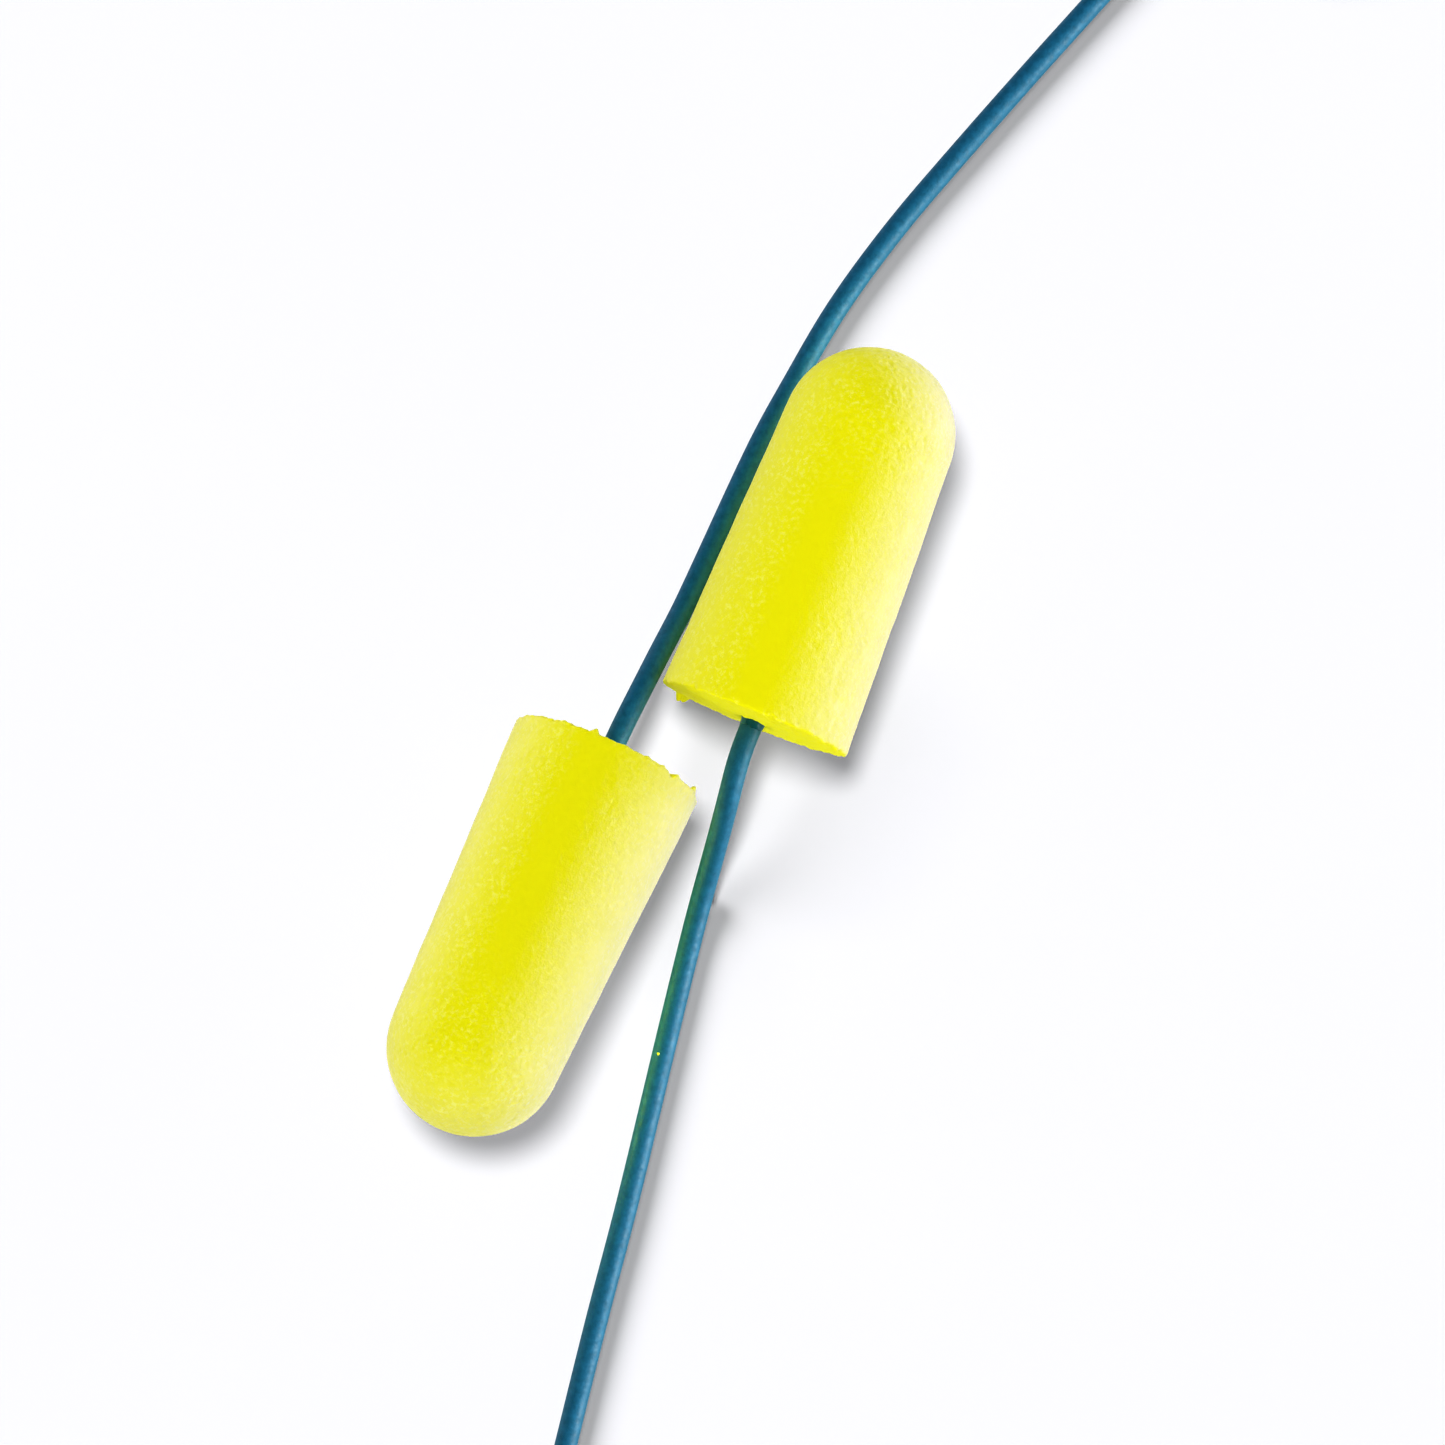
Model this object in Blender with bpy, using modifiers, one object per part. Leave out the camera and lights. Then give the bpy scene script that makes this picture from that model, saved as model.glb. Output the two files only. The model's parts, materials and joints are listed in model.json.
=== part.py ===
"""Corded foam ear plugs: two bullet-shaped foam plugs joined by one thin PVC cord, lying on a table.

Metres, +Z up, and the table is z = 0. The origin is on the table, in the middle of the two plugs.
Each plug and what is bonded into it hang from an empty at the plug's pivot, the point where the
cord flexes just outside the foam. The empty's +Z runs from the pivot through the plug to its tip.
"""

import math

import bpy
from mathutils import Vector

MM = 0.001
MERGE_DISTANCE = 0.001 * MM
NAME = "corded_foam_ear_plugs"

# Foam plug, a tapered body with a half-ball tip. Each is cut to its own length from a moulded rod.
BASE_RADIUS = 6.2 * MM
TIP_RADIUS = 5.47 * MM
CUT_EDGE = 0.35 * MM
BORE_RADIUS = 1.2 * MM
BORE_DEPTH = 9.0 * MM
PLUG_STEPS = 40
TIP_STEPS = 9
CUT_EDGE_STEPS = 3

# Where each plug lies: the middle of its base in the plan, the way its tip points, clockwise from
# +Y, and how far the springy cord tips it up from level. The base's rim rests on the table.
PLUGS = {
    "left": {"length": 25.4 * MM, "base": (-4.1, -1.1), "heading": 203.9, "tip_up": 5.5},
    "right": {"length": 24.8 * MM, "base": (5.1, 1.5), "heading": 21.85, "tip_up": 3.0},
}

# Cord
CORD_RADIUS = 0.7 * MM
CORD_LIES_AT = 0.72
CORD_BONDED = 8.3 * MM
PIVOT_OUT = 2.5 * MM
PIVOT_GAP = 0.45 * MM
END_STEPS = 12
RUN_STEP = 3.75 * MM

# Adhesive: a cup round the bonded end of the cord, with a low meniscus on the foam
GLUE_INSIDE = 0.76 * MM
GLUE_OUTSIDE = 1.14 * MM
GLUE_FLOOR = 0.3 * MM
GLUE_DEPTH = 8.9 * MM
MENISCUS = 0.3 * MM
MENISCUS_SHOULDER = 0.18 * MM
MENISCUS_LIP = 0.08 * MM
GLUE_STEPS = 16

# Coil that the spare cord is wound into: three turns side by side, in two layers
COIL_CENTRE = (41.2, 61.4)
COIL_MEAN_RADIUS = 7.3 * MM
COIL_TURNS_WIDE = 3
COIL_LAYERS = 2
COIL_LIES_AT = 0.3 * MM
COIL_STEPS = 48
COIL_EDGE_STEPS = 3

# Tie that holds the coil
TIE_ANGLE = 90.0
TIE_THICK = 0.22 * MM
TIE_WIDTH = 2.4 * MM
TIE_SLACK = 0.05 * MM

# Routes in millimetres. Each starts at a plug's pivot, which is put before its first point, drops
# to the table and then lies on it, as far as the coil.
ROUTE_LEFT = [
    (-1.85, 3.75, 5.3),
    (-0.7, 6.35, 3.5),
    (0.6, 9.2, 1.55),
    (2.1, 12.6, 0.76),
    (5.4, 19.8, CORD_LIES_AT),
    (7.5, 23.7, CORD_LIES_AT),
    (10.5, 28.9, CORD_LIES_AT),
    (14.3, 34.15, CORD_LIES_AT),
    (18.7, 39.4, CORD_LIES_AT),
    (23.3, 44.7, CORD_LIES_AT),
    (27.2, 49.1, CORD_LIES_AT),
    (30.1, 52.5, CORD_LIES_AT),
    (32.0, 56.2, 0.9),
]
ROUTE_RIGHT = [
    (3.5, -3.4, 5.25),
    (2.85, -5.7, 3.6),
    (2.1, -8.2, 1.75),
    (1.2, -11.5, 0.78),
    (-0.4, -18.1, CORD_LIES_AT),
    (-2.8, -28.2, CORD_LIES_AT),
    (-4.75, -35.7, CORD_LIES_AT),
    (-6.65, -43.45, CORD_LIES_AT),
    (-7.05, -45.2, CORD_LIES_AT),
    (-6.85, -47.3, CORD_LIES_AT),
    (-5.4, -49.1, CORD_LIES_AT),
    (-3.2, -49.8, CORD_LIES_AT),
    (2.0, -49.4, CORD_LIES_AT),
    (12.0, -48.2, CORD_LIES_AT),
    (26.0, -48.8, CORD_LIES_AT),
    (40.0, -48.1, CORD_LIES_AT),
    (47.6, -46.6, CORD_LIES_AT),
    (50.9, -42.6, CORD_LIES_AT),
    (51.5, -33.0, CORD_LIES_AT),
    (51.2, -20.0, CORD_LIES_AT),
    (52.0, -5.0, CORD_LIES_AT),
    (52.0, 10.0, CORD_LIES_AT),
    (51.8, 24.0, CORD_LIES_AT),
    (52.6, 38.0, CORD_LIES_AT),
    (52.4, 48.0, CORD_LIES_AT),
    (51.6, 52.8, 1.35),
    (50.5, 56.5, 2.2),
]


def clear_scene():
    for obj in list(bpy.data.objects):
        bpy.data.objects.remove(obj, do_unlink=True)


def make_collection():
    group = bpy.data.collections.new(NAME)
    bpy.context.scene.collection.children.link(group)
    return group


def material(name, colour, roughness):
    made = bpy.data.materials.new(name)
    made.use_nodes = True
    shader = made.node_tree.nodes["Principled BSDF"]
    shader.inputs["Base Color"].default_value = (*colour, 1.0)
    shader.inputs["Roughness"].default_value = roughness
    shader.inputs["Metallic"].default_value = 0.0
    made.diffuse_color = (*colour, 1.0)
    return made


def turned(group, name, profile, steps, finish, closed=False):
    """A solid turned about its own Z from (radius, height) points that run down its outer side."""
    mesh = bpy.data.meshes.new(name)
    edges = [(i, i + 1) for i in range(len(profile) - 1)]
    if closed:
        edges.append((len(profile) - 1, 0))
    mesh.from_pydata([(radius, 0.0, height) for radius, height in profile], edges, [])
    obj = bpy.data.objects.new(name, mesh)
    group.objects.link(obj)
    obj.data.materials.append(finish)
    screw = obj.modifiers.new("Turn", "SCREW")
    screw.steps = steps
    screw.render_steps = steps
    screw.use_smooth_shade = True
    screw.use_merge_vertices = True
    screw.merge_threshold = MERGE_DISTANCE
    return obj


def arc(centre, radius, start, end, count):
    """Points along an arc about centre, from start to end in degrees, both ends included."""
    angles = [math.radians(start + (end - start) * i / count) for i in range(count + 1)]
    return [(centre[0] + radius * math.cos(a), centre[1] + radius * math.sin(a)) for a in angles]


def foam_profile(length):
    """Outline from the tip down the tapered side, over the cut base and up into the blind bore."""
    tip_centre = length - TIP_RADIUS
    taper = math.degrees(math.atan2(BASE_RADIUS - TIP_RADIUS, tip_centre))
    outline = [(0.0, length)]
    outline += arc((0.0, tip_centre), TIP_RADIUS, 90.0, taper, TIP_STEPS)[1:]
    outline += arc((BASE_RADIUS - CUT_EDGE, CUT_EDGE), CUT_EDGE, 0.0, -90.0, CUT_EDGE_STEPS)
    outline += [(BORE_RADIUS, 0.0), (BORE_RADIUS, BORE_DEPTH), (0.0, BORE_DEPTH)]
    return outline


def glue_profile():
    """Outline of a cup that stands on its closed end, deep in the bore, with its lip on the foam."""
    return [
        (0.0, GLUE_DEPTH),
        (GLUE_OUTSIDE, GLUE_DEPTH),
        (GLUE_OUTSIDE, 0.0),
        (0.5 * (GLUE_INSIDE + GLUE_OUTSIDE), -MENISCUS_SHOULDER),
        (GLUE_INSIDE + MENISCUS_LIP, -MENISCUS),
        (GLUE_INSIDE, -MENISCUS),
        (GLUE_INSIDE, GLUE_DEPTH - GLUE_FLOOR),
        (0.0, GLUE_DEPTH - GLUE_FLOOR),
    ]


def cord_end_profile():
    """Outline of the straight end of the cord, from deep in the bore out to just short of the pivot."""
    outside = PIVOT_OUT - PIVOT_GAP
    return [
        (0.0, CORD_BONDED),
        (CORD_RADIUS, CORD_BONDED),
        (CORD_RADIUS, -outside),
        (0.0, -outside),
    ]


def coil_profile():
    """Outline of the bundle of turns, a rounded rectangle as wide and as high as the turns."""
    half_wide = COIL_TURNS_WIDE * CORD_RADIUS - CORD_RADIUS
    half_high = COIL_LAYERS * CORD_RADIUS - CORD_RADIUS
    middle = COIL_LIES_AT + COIL_LAYERS * CORD_RADIUS
    outline = []
    for side_x, side_z, start in ((1, 1, 90.0), (1, -1, 0.0), (-1, -1, -90.0), (-1, 1, -180.0)):
        corner = (COIL_MEAN_RADIUS + side_x * half_wide, middle + side_z * half_high)
        outline += arc(corner, CORD_RADIUS, start, start - 90.0, COIL_EDGE_STEPS)
    return outline


def plug_axis(plug):
    """Unit vector from the plug's base to its tip."""
    heading = math.radians(plug["heading"])
    tip_up = math.radians(plug["tip_up"])
    level = math.cos(tip_up)
    return Vector((math.sin(heading) * level, math.cos(heading) * level, math.sin(tip_up)))


def plug_base(plug):
    """Middle of the plug's base, held so that the base's rim rests on the table."""
    x, y = plug["base"]
    return Vector((x * MM, y * MM, BASE_RADIUS * math.cos(math.radians(plug["tip_up"]))))


def plug_pivot(plug):
    return plug_base(plug) - plug_axis(plug) * PIVOT_OUT


def make_plug(group, side, finishes):
    """The foam, its adhesive bond and the end of the cord, all on one empty at the pivot."""
    plug = PLUGS[side]
    pivot = bpy.data.objects.new("pivot_" + side, None)
    pivot.empty_display_size = 3.0 * MM
    pivot.location = plug_pivot(plug)
    pivot.rotation_euler = plug_axis(plug).to_track_quat("Z", "Y").to_euler()
    group.objects.link(pivot)
    pieces = [
        turned(group, "foam_plug_" + side, foam_profile(plug["length"]), PLUG_STEPS, finishes["foam"]),
        turned(group, "glue_bond_" + side, glue_profile(), GLUE_STEPS, finishes["glue"]),
        turned(group, "cord_end_" + side, cord_end_profile(), END_STEPS, finishes["cord"]),
    ]
    for piece in pieces:
        piece.parent = pivot
        piece.location = (0.0, 0.0, PIVOT_OUT)


def catmull_rom(points, t):
    """The point t of the way, in spans, along the smooth curve through points."""
    span = min(int(t), len(points) - 2)
    u = t - span
    p1, p2 = points[span], points[span + 1]
    p0 = points[span - 1] if span > 0 else 2.0 * p1 - p2
    p3 = points[span + 2] if span + 2 < len(points) else 2.0 * p2 - p1
    return 0.5 * (
        2.0 * p1
        + (p2 - p0) * u
        + (2.0 * p0 - 5.0 * p1 + 4.0 * p2 - p3) * u**2
        + (3.0 * p1 - p0 - 3.0 * p2 + p3) * u**3
    )


def smooth_route(points, start_gap, step):
    """Points about a step apart on the smooth curve through points, from start_gap past the first."""
    samples = 60 * (len(points) - 1)
    fine = [catmull_rom(points, (len(points) - 1) * i / samples) for i in range(samples + 1)]
    run = [0.0]
    for a, b in zip(fine, fine[1:]):
        run.append(run[-1] + (b - a).length)
    count = round((run[-1] - start_gap) / step)
    route = []
    at = 0
    for i in range(count + 1):
        want = start_gap + (run[-1] - start_gap) * i / count
        while at < samples - 1 and run[at + 1] < want:
            at += 1
        share = (want - run[at]) / (run[at + 1] - run[at])
        point = fine[at].lerp(fine[at + 1], min(share, 1.0))
        point.z = max(point.z, CORD_LIES_AT * MM)
        route.append(point)
    return route


def make_run(group, side, route, finish):
    """The tube of cord from a plug's pivot to the coil."""
    plug = PLUGS[side]
    points = [plug_pivot(plug)] + [Vector(p) * MM for p in route]
    path = smooth_route(points, PIVOT_GAP, RUN_STEP)
    curve = bpy.data.curves.new("cord_run_" + side, "CURVE")
    curve.dimensions = "3D"
    curve.bevel_depth = CORD_RADIUS
    curve.bevel_resolution = 2
    curve.render_resolution_u = 0
    curve.use_fill_caps = True
    spline = curve.splines.new("POLY")
    spline.points.add(len(path) - 1)
    for knot, point in zip(spline.points, path):
        knot.co = (*point, 1.0)
    curve.materials.append(finish)
    obj = bpy.data.objects.new("cord_run_" + side, curve)
    group.objects.link(obj)


def make_coil(group, finish):
    coil = turned(group, "cord_coil", coil_profile(), COIL_STEPS, finish, closed=True)
    coil.location = (COIL_CENTRE[0] * MM, COIL_CENTRE[1] * MM, 0.0)


def rectangle(curve, half_wide, half_high):
    """Adds a closed rectangle about the curve's origin."""
    spline = curve.splines.new("POLY")
    spline.points.add(3)
    corners = (
        (-half_wide, -half_high),
        (half_wide, -half_high),
        (half_wide, half_high),
        (-half_wide, half_high),
    )
    for knot, (x, y) in zip(spline.points, corners):
        knot.co = (x, y, 0.0, 1.0)
    spline.use_cyclic_u = True


def make_tie(group, finish):
    """A flat band bent round the coil's turns, standing across them."""
    half_band = 0.5 * TIE_WIDTH
    outer = COIL_MEAN_RADIUS + COIL_TURNS_WIDE * CORD_RADIUS
    inner = COIL_MEAN_RADIUS - COIL_TURNS_WIDE * CORD_RADIUS
    reach_in = math.sqrt(inner**2 - half_band**2)
    half_wide = 0.5 * (outer - reach_in) + TIE_SLACK
    half_high = COIL_LAYERS * CORD_RADIUS + TIE_SLACK
    curve = bpy.data.curves.new("coil_tie", "CURVE")
    curve.dimensions = "2D"
    curve.fill_mode = "BOTH"
    curve.extrude = half_band
    rectangle(curve, half_wide + TIE_THICK, half_high + TIE_THICK)
    rectangle(curve, half_wide, half_high)
    curve.materials.append(finish)
    tie = bpy.data.objects.new("coil_tie", curve)
    turn = math.radians(TIE_ANGLE)
    middle = 0.5 * (outer + reach_in)
    tie.location = (
        COIL_CENTRE[0] * MM + middle * math.cos(turn),
        COIL_CENTRE[1] * MM + middle * math.sin(turn),
        COIL_LIES_AT + COIL_LAYERS * CORD_RADIUS,
    )
    tie.rotation_euler = (math.radians(90.0), 0.0, turn)
    group.objects.link(tie)


def main():
    clear_scene()
    group = make_collection()
    finishes = {
        "foam": material("yellow_foam", (0.80, 0.80, 0.10), 0.9),
        "cord": material("blue_pvc", (0.01, 0.13, 0.20), 0.3),
        "glue": material("clear_adhesive", (0.01, 0.15, 0.20), 0.3),
        "tie": material("white_tie", (0.80, 0.80, 0.78), 0.5),
    }
    for side in PLUGS:
        make_plug(group, side, finishes)
    make_run(group, "left", ROUTE_LEFT, finishes["cord"])
    make_run(group, "right", ROUTE_RIGHT, finishes["cord"])
    make_coil(group, finishes["cord"])
    make_tie(group, finishes["tie"])


main()
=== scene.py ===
"""The looks of the corded foam ear plugs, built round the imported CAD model.

Lengths in this script are millimetres, and MM turns them into the frame's metres. Only the places
and sizes of the lamps, the floor and the lens are in Blender's own units.
"""

import json
import math

import bmesh
import bpy
import numpy as np
from mathutils import Matrix, Vector, noise


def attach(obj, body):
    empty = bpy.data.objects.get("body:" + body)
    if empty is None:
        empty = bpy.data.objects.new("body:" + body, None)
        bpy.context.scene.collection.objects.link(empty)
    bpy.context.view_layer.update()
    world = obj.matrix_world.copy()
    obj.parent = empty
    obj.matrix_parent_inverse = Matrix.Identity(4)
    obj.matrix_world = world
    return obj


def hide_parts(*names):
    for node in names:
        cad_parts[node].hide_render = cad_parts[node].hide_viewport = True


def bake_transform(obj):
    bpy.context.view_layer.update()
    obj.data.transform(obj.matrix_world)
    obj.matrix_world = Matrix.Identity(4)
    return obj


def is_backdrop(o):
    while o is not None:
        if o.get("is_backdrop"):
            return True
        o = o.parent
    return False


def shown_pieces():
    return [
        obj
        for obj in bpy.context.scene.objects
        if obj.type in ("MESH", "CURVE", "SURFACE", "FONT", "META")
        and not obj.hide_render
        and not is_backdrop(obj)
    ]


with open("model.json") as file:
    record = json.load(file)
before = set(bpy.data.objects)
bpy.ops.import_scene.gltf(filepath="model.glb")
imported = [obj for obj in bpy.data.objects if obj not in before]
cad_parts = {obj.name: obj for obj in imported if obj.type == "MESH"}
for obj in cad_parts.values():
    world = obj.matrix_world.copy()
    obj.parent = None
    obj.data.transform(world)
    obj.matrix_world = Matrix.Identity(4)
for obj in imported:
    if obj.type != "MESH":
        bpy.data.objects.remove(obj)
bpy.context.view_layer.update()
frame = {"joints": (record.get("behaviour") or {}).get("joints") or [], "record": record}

MM = 0.001

# The foam plug's own sizes: the bore narrows to its mouth, where the foam closes on the cord
BASE_RADIUS = 6.2
TIP_RADIUS = 5.47
BORE_RADIUS = 1.2
MOUTH_RADIUS = 0.92
BORE_DEPTH = 8.96
PIVOT_OUT = 2.5
LENGTH = {"left": 25.4, "right": 24.8}

# The cord. Its roots reach ROOT_OUT from each base; BEND_STARTS and BEND_ENDS are distances out from the
# base.
CORD_RADIUS = 0.7
CORD_LIES_AT = 0.72
CORD_BONDED = 8.3
ROOT_OUT = 12.0
BEND_STARTS, BEND_ENDS = 0.8, 4.2
CORD_SIDES = 28
CORD_STEP = 0.42
CURVE_STEPS = 24
CORD_EASING = 5

# The coil of spare cord, three turns wide and two layers high, on the tie that holds it
COIL_CENTRE = (41.2, 61.4)
COIL_MEAN_RADIUS = 7.3
COIL_LIES_AT = 1.0
COIL_LAPS_BELOW = 3
COIL_STEPS = 20
COIL_TURNS = 5.5
LAYER_GAP = 2.0 * CORD_RADIUS

# The cord's route from each plug's pivot to the coil
ROUTE_LEFT = [
    (-1.85, 3.75, 5.3),
    (-0.7, 6.35, 3.5),
    (0.6, 9.2, 1.55),
    (2.1, 12.6, 0.76),
    (5.4, 19.8, CORD_LIES_AT),
    (7.5, 23.7, CORD_LIES_AT),
    (10.5, 28.9, CORD_LIES_AT),
    (14.3, 34.15, CORD_LIES_AT),
    (18.7, 39.4, CORD_LIES_AT),
    (23.3, 44.7, CORD_LIES_AT),
    (27.2, 49.1, CORD_LIES_AT),
    (30.1, 52.5, CORD_LIES_AT),
    (32.0, 56.2, 0.9),
]
ROUTE_RIGHT = [
    (3.5, -3.4, 5.25),
    (2.85, -5.7, 3.6),
    (2.1, -8.2, 1.75),
    (1.2, -11.5, 0.78),
    (-0.4, -18.1, CORD_LIES_AT),
    (-2.8, -28.2, CORD_LIES_AT),
    (-4.75, -35.7, CORD_LIES_AT),
    (-6.65, -43.45, CORD_LIES_AT),
    (-7.05, -45.2, CORD_LIES_AT),
    (-6.85, -47.3, CORD_LIES_AT),
    (-5.4, -49.1, CORD_LIES_AT),
    (-3.2, -49.8, CORD_LIES_AT),
    (2.0, -49.4, CORD_LIES_AT),
    (12.0, -48.2, CORD_LIES_AT),
    (26.0, -48.8, CORD_LIES_AT),
    (40.0, -48.1, CORD_LIES_AT),
    (47.6, -46.6, CORD_LIES_AT),
    (50.9, -42.6, CORD_LIES_AT),
    (51.5, -33.0, CORD_LIES_AT),
    (51.2, -20.0, CORD_LIES_AT),
    (52.0, -5.0, CORD_LIES_AT),
    (52.0, 10.0, CORD_LIES_AT),
    (51.8, 24.0, CORD_LIES_AT),
    (52.6, 38.0, CORD_LIES_AT),
    (52.4, 48.0, CORD_LIES_AT),
    (51.6, 52.8, 1.35),
    (50.5, 56.5, 2.2),
]


# ---------------------------------------------------------------- camera


def make_camera():
    """A long lens almost straight above the plugs, leaning back a little towards -Y."""
    aim = Vector((3.125, 1.29, 6.2)) * MM
    lean = math.radians(8.0)
    away = 380.0 * MM
    seen_width = 90.31 * MM
    data = bpy.data.cameras.new("camera")
    data.sensor_width = 36.0
    data.lens = data.sensor_width * away / seen_width
    data.clip_start = 0.01
    data.clip_end = 10.0
    camera = bpy.data.objects.new("camera", data)
    back = Vector((0.0, -math.sin(lean), math.cos(lean)))
    camera.location = aim + back * away
    camera.rotation_euler = (-back).to_track_quat("-Z", "Y").to_euler()
    bpy.context.scene.collection.objects.link(camera)
    bpy.context.scene.camera = camera


# ---------------------------------------------------------------- plug frames


class PlugPlace:
    """Where a plug lies: its base's middle, its axis to the tip, and the ways up and right across it."""

    def __init__(self, side):
        joint = next(j for j in frame["joints"] if j["name"] == f"plug_{side}_swing")
        mount = next(m for m in frame["record"]["mounts"] if m["name"] == f"{side}_base")
        self.pivot = Vector(joint["pos_m"])
        self.axis = -Vector(mount["axis"]).normalized()
        self.base = self.pivot + self.axis * PIVOT_OUT * MM
        self.up = (Vector((0, 0, 1)) - self.axis * self.axis.z).normalized()
        self.right = self.axis.cross(self.up)
        if self.right.x < 0:
            self.right.negate()

    def point(self, along, across=0.0, above=0.0):
        """The point that lies so many mm from the base along the axis, and off it, in metres."""
        return self.base + (self.axis * along + self.right * across + self.up * above) * MM

    def turned(self, radius, height, angle):
        """Points in mm about the axis, in arrays; the angle runs from the top towards the right."""
        across, above = radius * np.sin(angle), radius * np.cos(angle)
        return (
            np.array(self.base) / MM
            + height[..., None] * np.array(self.axis)
            + across[..., None] * np.array(self.right)
            + above[..., None] * np.array(self.up)
        )


PLACES = {side: PlugPlace(side) for side in ("left", "right")}


# ---------------------------------------------------------------- small tools


def smooth(t):
    """0 up to 0, 1 from 1 on, and a smooth step between, for numbers and arrays."""
    t = np.clip(t, 0.0, 1.0)
    return t * t * (3.0 - 2.0 * t)


def catmull_rom(points, per_span):
    """Points on the smooth curve through points, per_span of them in each span."""
    ends = [2 * points[0] - points[1], *points, 2 * points[-1] - points[-2]]
    curve = []
    for p0, p1, p2, p3 in zip(ends, ends[1:], ends[2:], ends[3:]):
        for i in range(per_span):
            u = i / per_span
            curve.append(
                0.5
                * (
                    2.0 * p1
                    + (p2 - p0) * u
                    + (2.0 * p0 - 5.0 * p1 + 4.0 * p2 - p3) * u**2
                    + (3.0 * p1 - p0 - 3.0 * p2 + p3) * u**3
                )
            )
    curve.append(points[-1])
    return np.array(curve)


def even_steps(line, step):
    """The polyline line again, with points about a step apart."""
    run = np.concatenate(([0.0], np.cumsum(np.linalg.norm(np.diff(line, axis=0), axis=1))))
    at = np.linspace(0.0, run[-1], int(round(run[-1] / step)) + 1)
    return np.stack([np.interp(at, run, line[:, k]) for k in range(3)], axis=1)


def eased(line, reach):
    """The polyline with each point drawn towards its neighbours, reach points either way; its ends stay."""
    weights = np.hanning(2 * reach + 3)[1:-1]
    weights /= weights.sum()
    padded = np.vstack([line[:1]] * reach + [line] + [line[-1:]] * reach)
    soft = np.stack([np.convolve(padded[:, k], weights, "valid") for k in range(3)], axis=1)
    soft[: reach + 1] = line[: reach + 1]
    soft[-reach - 1 :] = line[-reach - 1 :]
    return soft


def link(obj):
    """Puts the object in the scene, and returns it."""
    bpy.context.scene.collection.objects.link(obj)
    return obj


def mesh_object(name, points, faces, material, smooth_shaded=True):
    """A mesh piece from points in mm, with its faces turned to point out."""
    mesh = bpy.data.meshes.new(name)
    mesh.from_pydata([tuple(p) for p in np.asarray(points, float) * MM], [], faces)
    edit = bmesh.new()
    edit.from_mesh(mesh)
    bmesh.ops.recalc_face_normals(edit, faces=edit.faces)
    edit.to_mesh(mesh)
    edit.free()
    if smooth_shaded:
        mesh.shade_smooth()
    mesh.materials.append(material)
    return link(bpy.data.objects.new(name, mesh))


def grid_faces(rows, sides, closed=False):
    """Quads between rows of sides points each, every row a ring; if closed, the last row meets the first."""
    faces = []
    for row in range(rows - 1):
        start = row * sides
        for k in range(sides):
            after = (k + 1) % sides
            faces.append((start + k, start + after, start + sides + after, start + sides + k))
    if closed:
        last = (rows - 1) * sides
        for k in range(sides):
            after = (k + 1) % sides
            faces.append((last + k, last + after, after, k))
    return faces


def unit_tangents(line):
    """The polyline's direction at each point."""
    tangents = np.gradient(line, axis=0)
    return tangents / np.linalg.norm(tangents, axis=1)[:, None]


def carried_frames(line):
    """Two unit vectors across the polyline at each point, carried along it without twist."""
    tangents = unit_tangents(line)
    across = np.cross(tangents[0], (0.0, 0.0, 1.0))
    firsts = []
    for tangent in tangents:
        across = across - tangent * np.dot(across, tangent)
        across = across / np.linalg.norm(across)
        firsts.append(across)
    firsts = np.array(firsts)
    return firsts, np.cross(tangents, firsts)


def swept_rings(line, first, second, section):
    """Rings of points: section, an (n, 2) outline in mm, set out along first and second at each point."""
    wide, high = section[None, :, :1], section[None, :, 1:]
    return line[:, None, :] + first[:, None, :] * wide + second[:, None, :] * high


def tube_object(name, rings, material):
    """A closed mesh of the rings with a flat cap on each end."""
    rows, sides = rings.shape[:2]
    faces = grid_faces(rows, sides)
    faces.append(tuple(range(sides)))
    faces.append(tuple((rows - 1) * sides + k for k in range(sides)))
    obj = mesh_object(name, rings.reshape(-1, 3), faces, material)
    obj.data.set_sharp_from_angle(angle=math.radians(60.0))
    return obj


# ---------------------------------------------------------------- node materials


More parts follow.
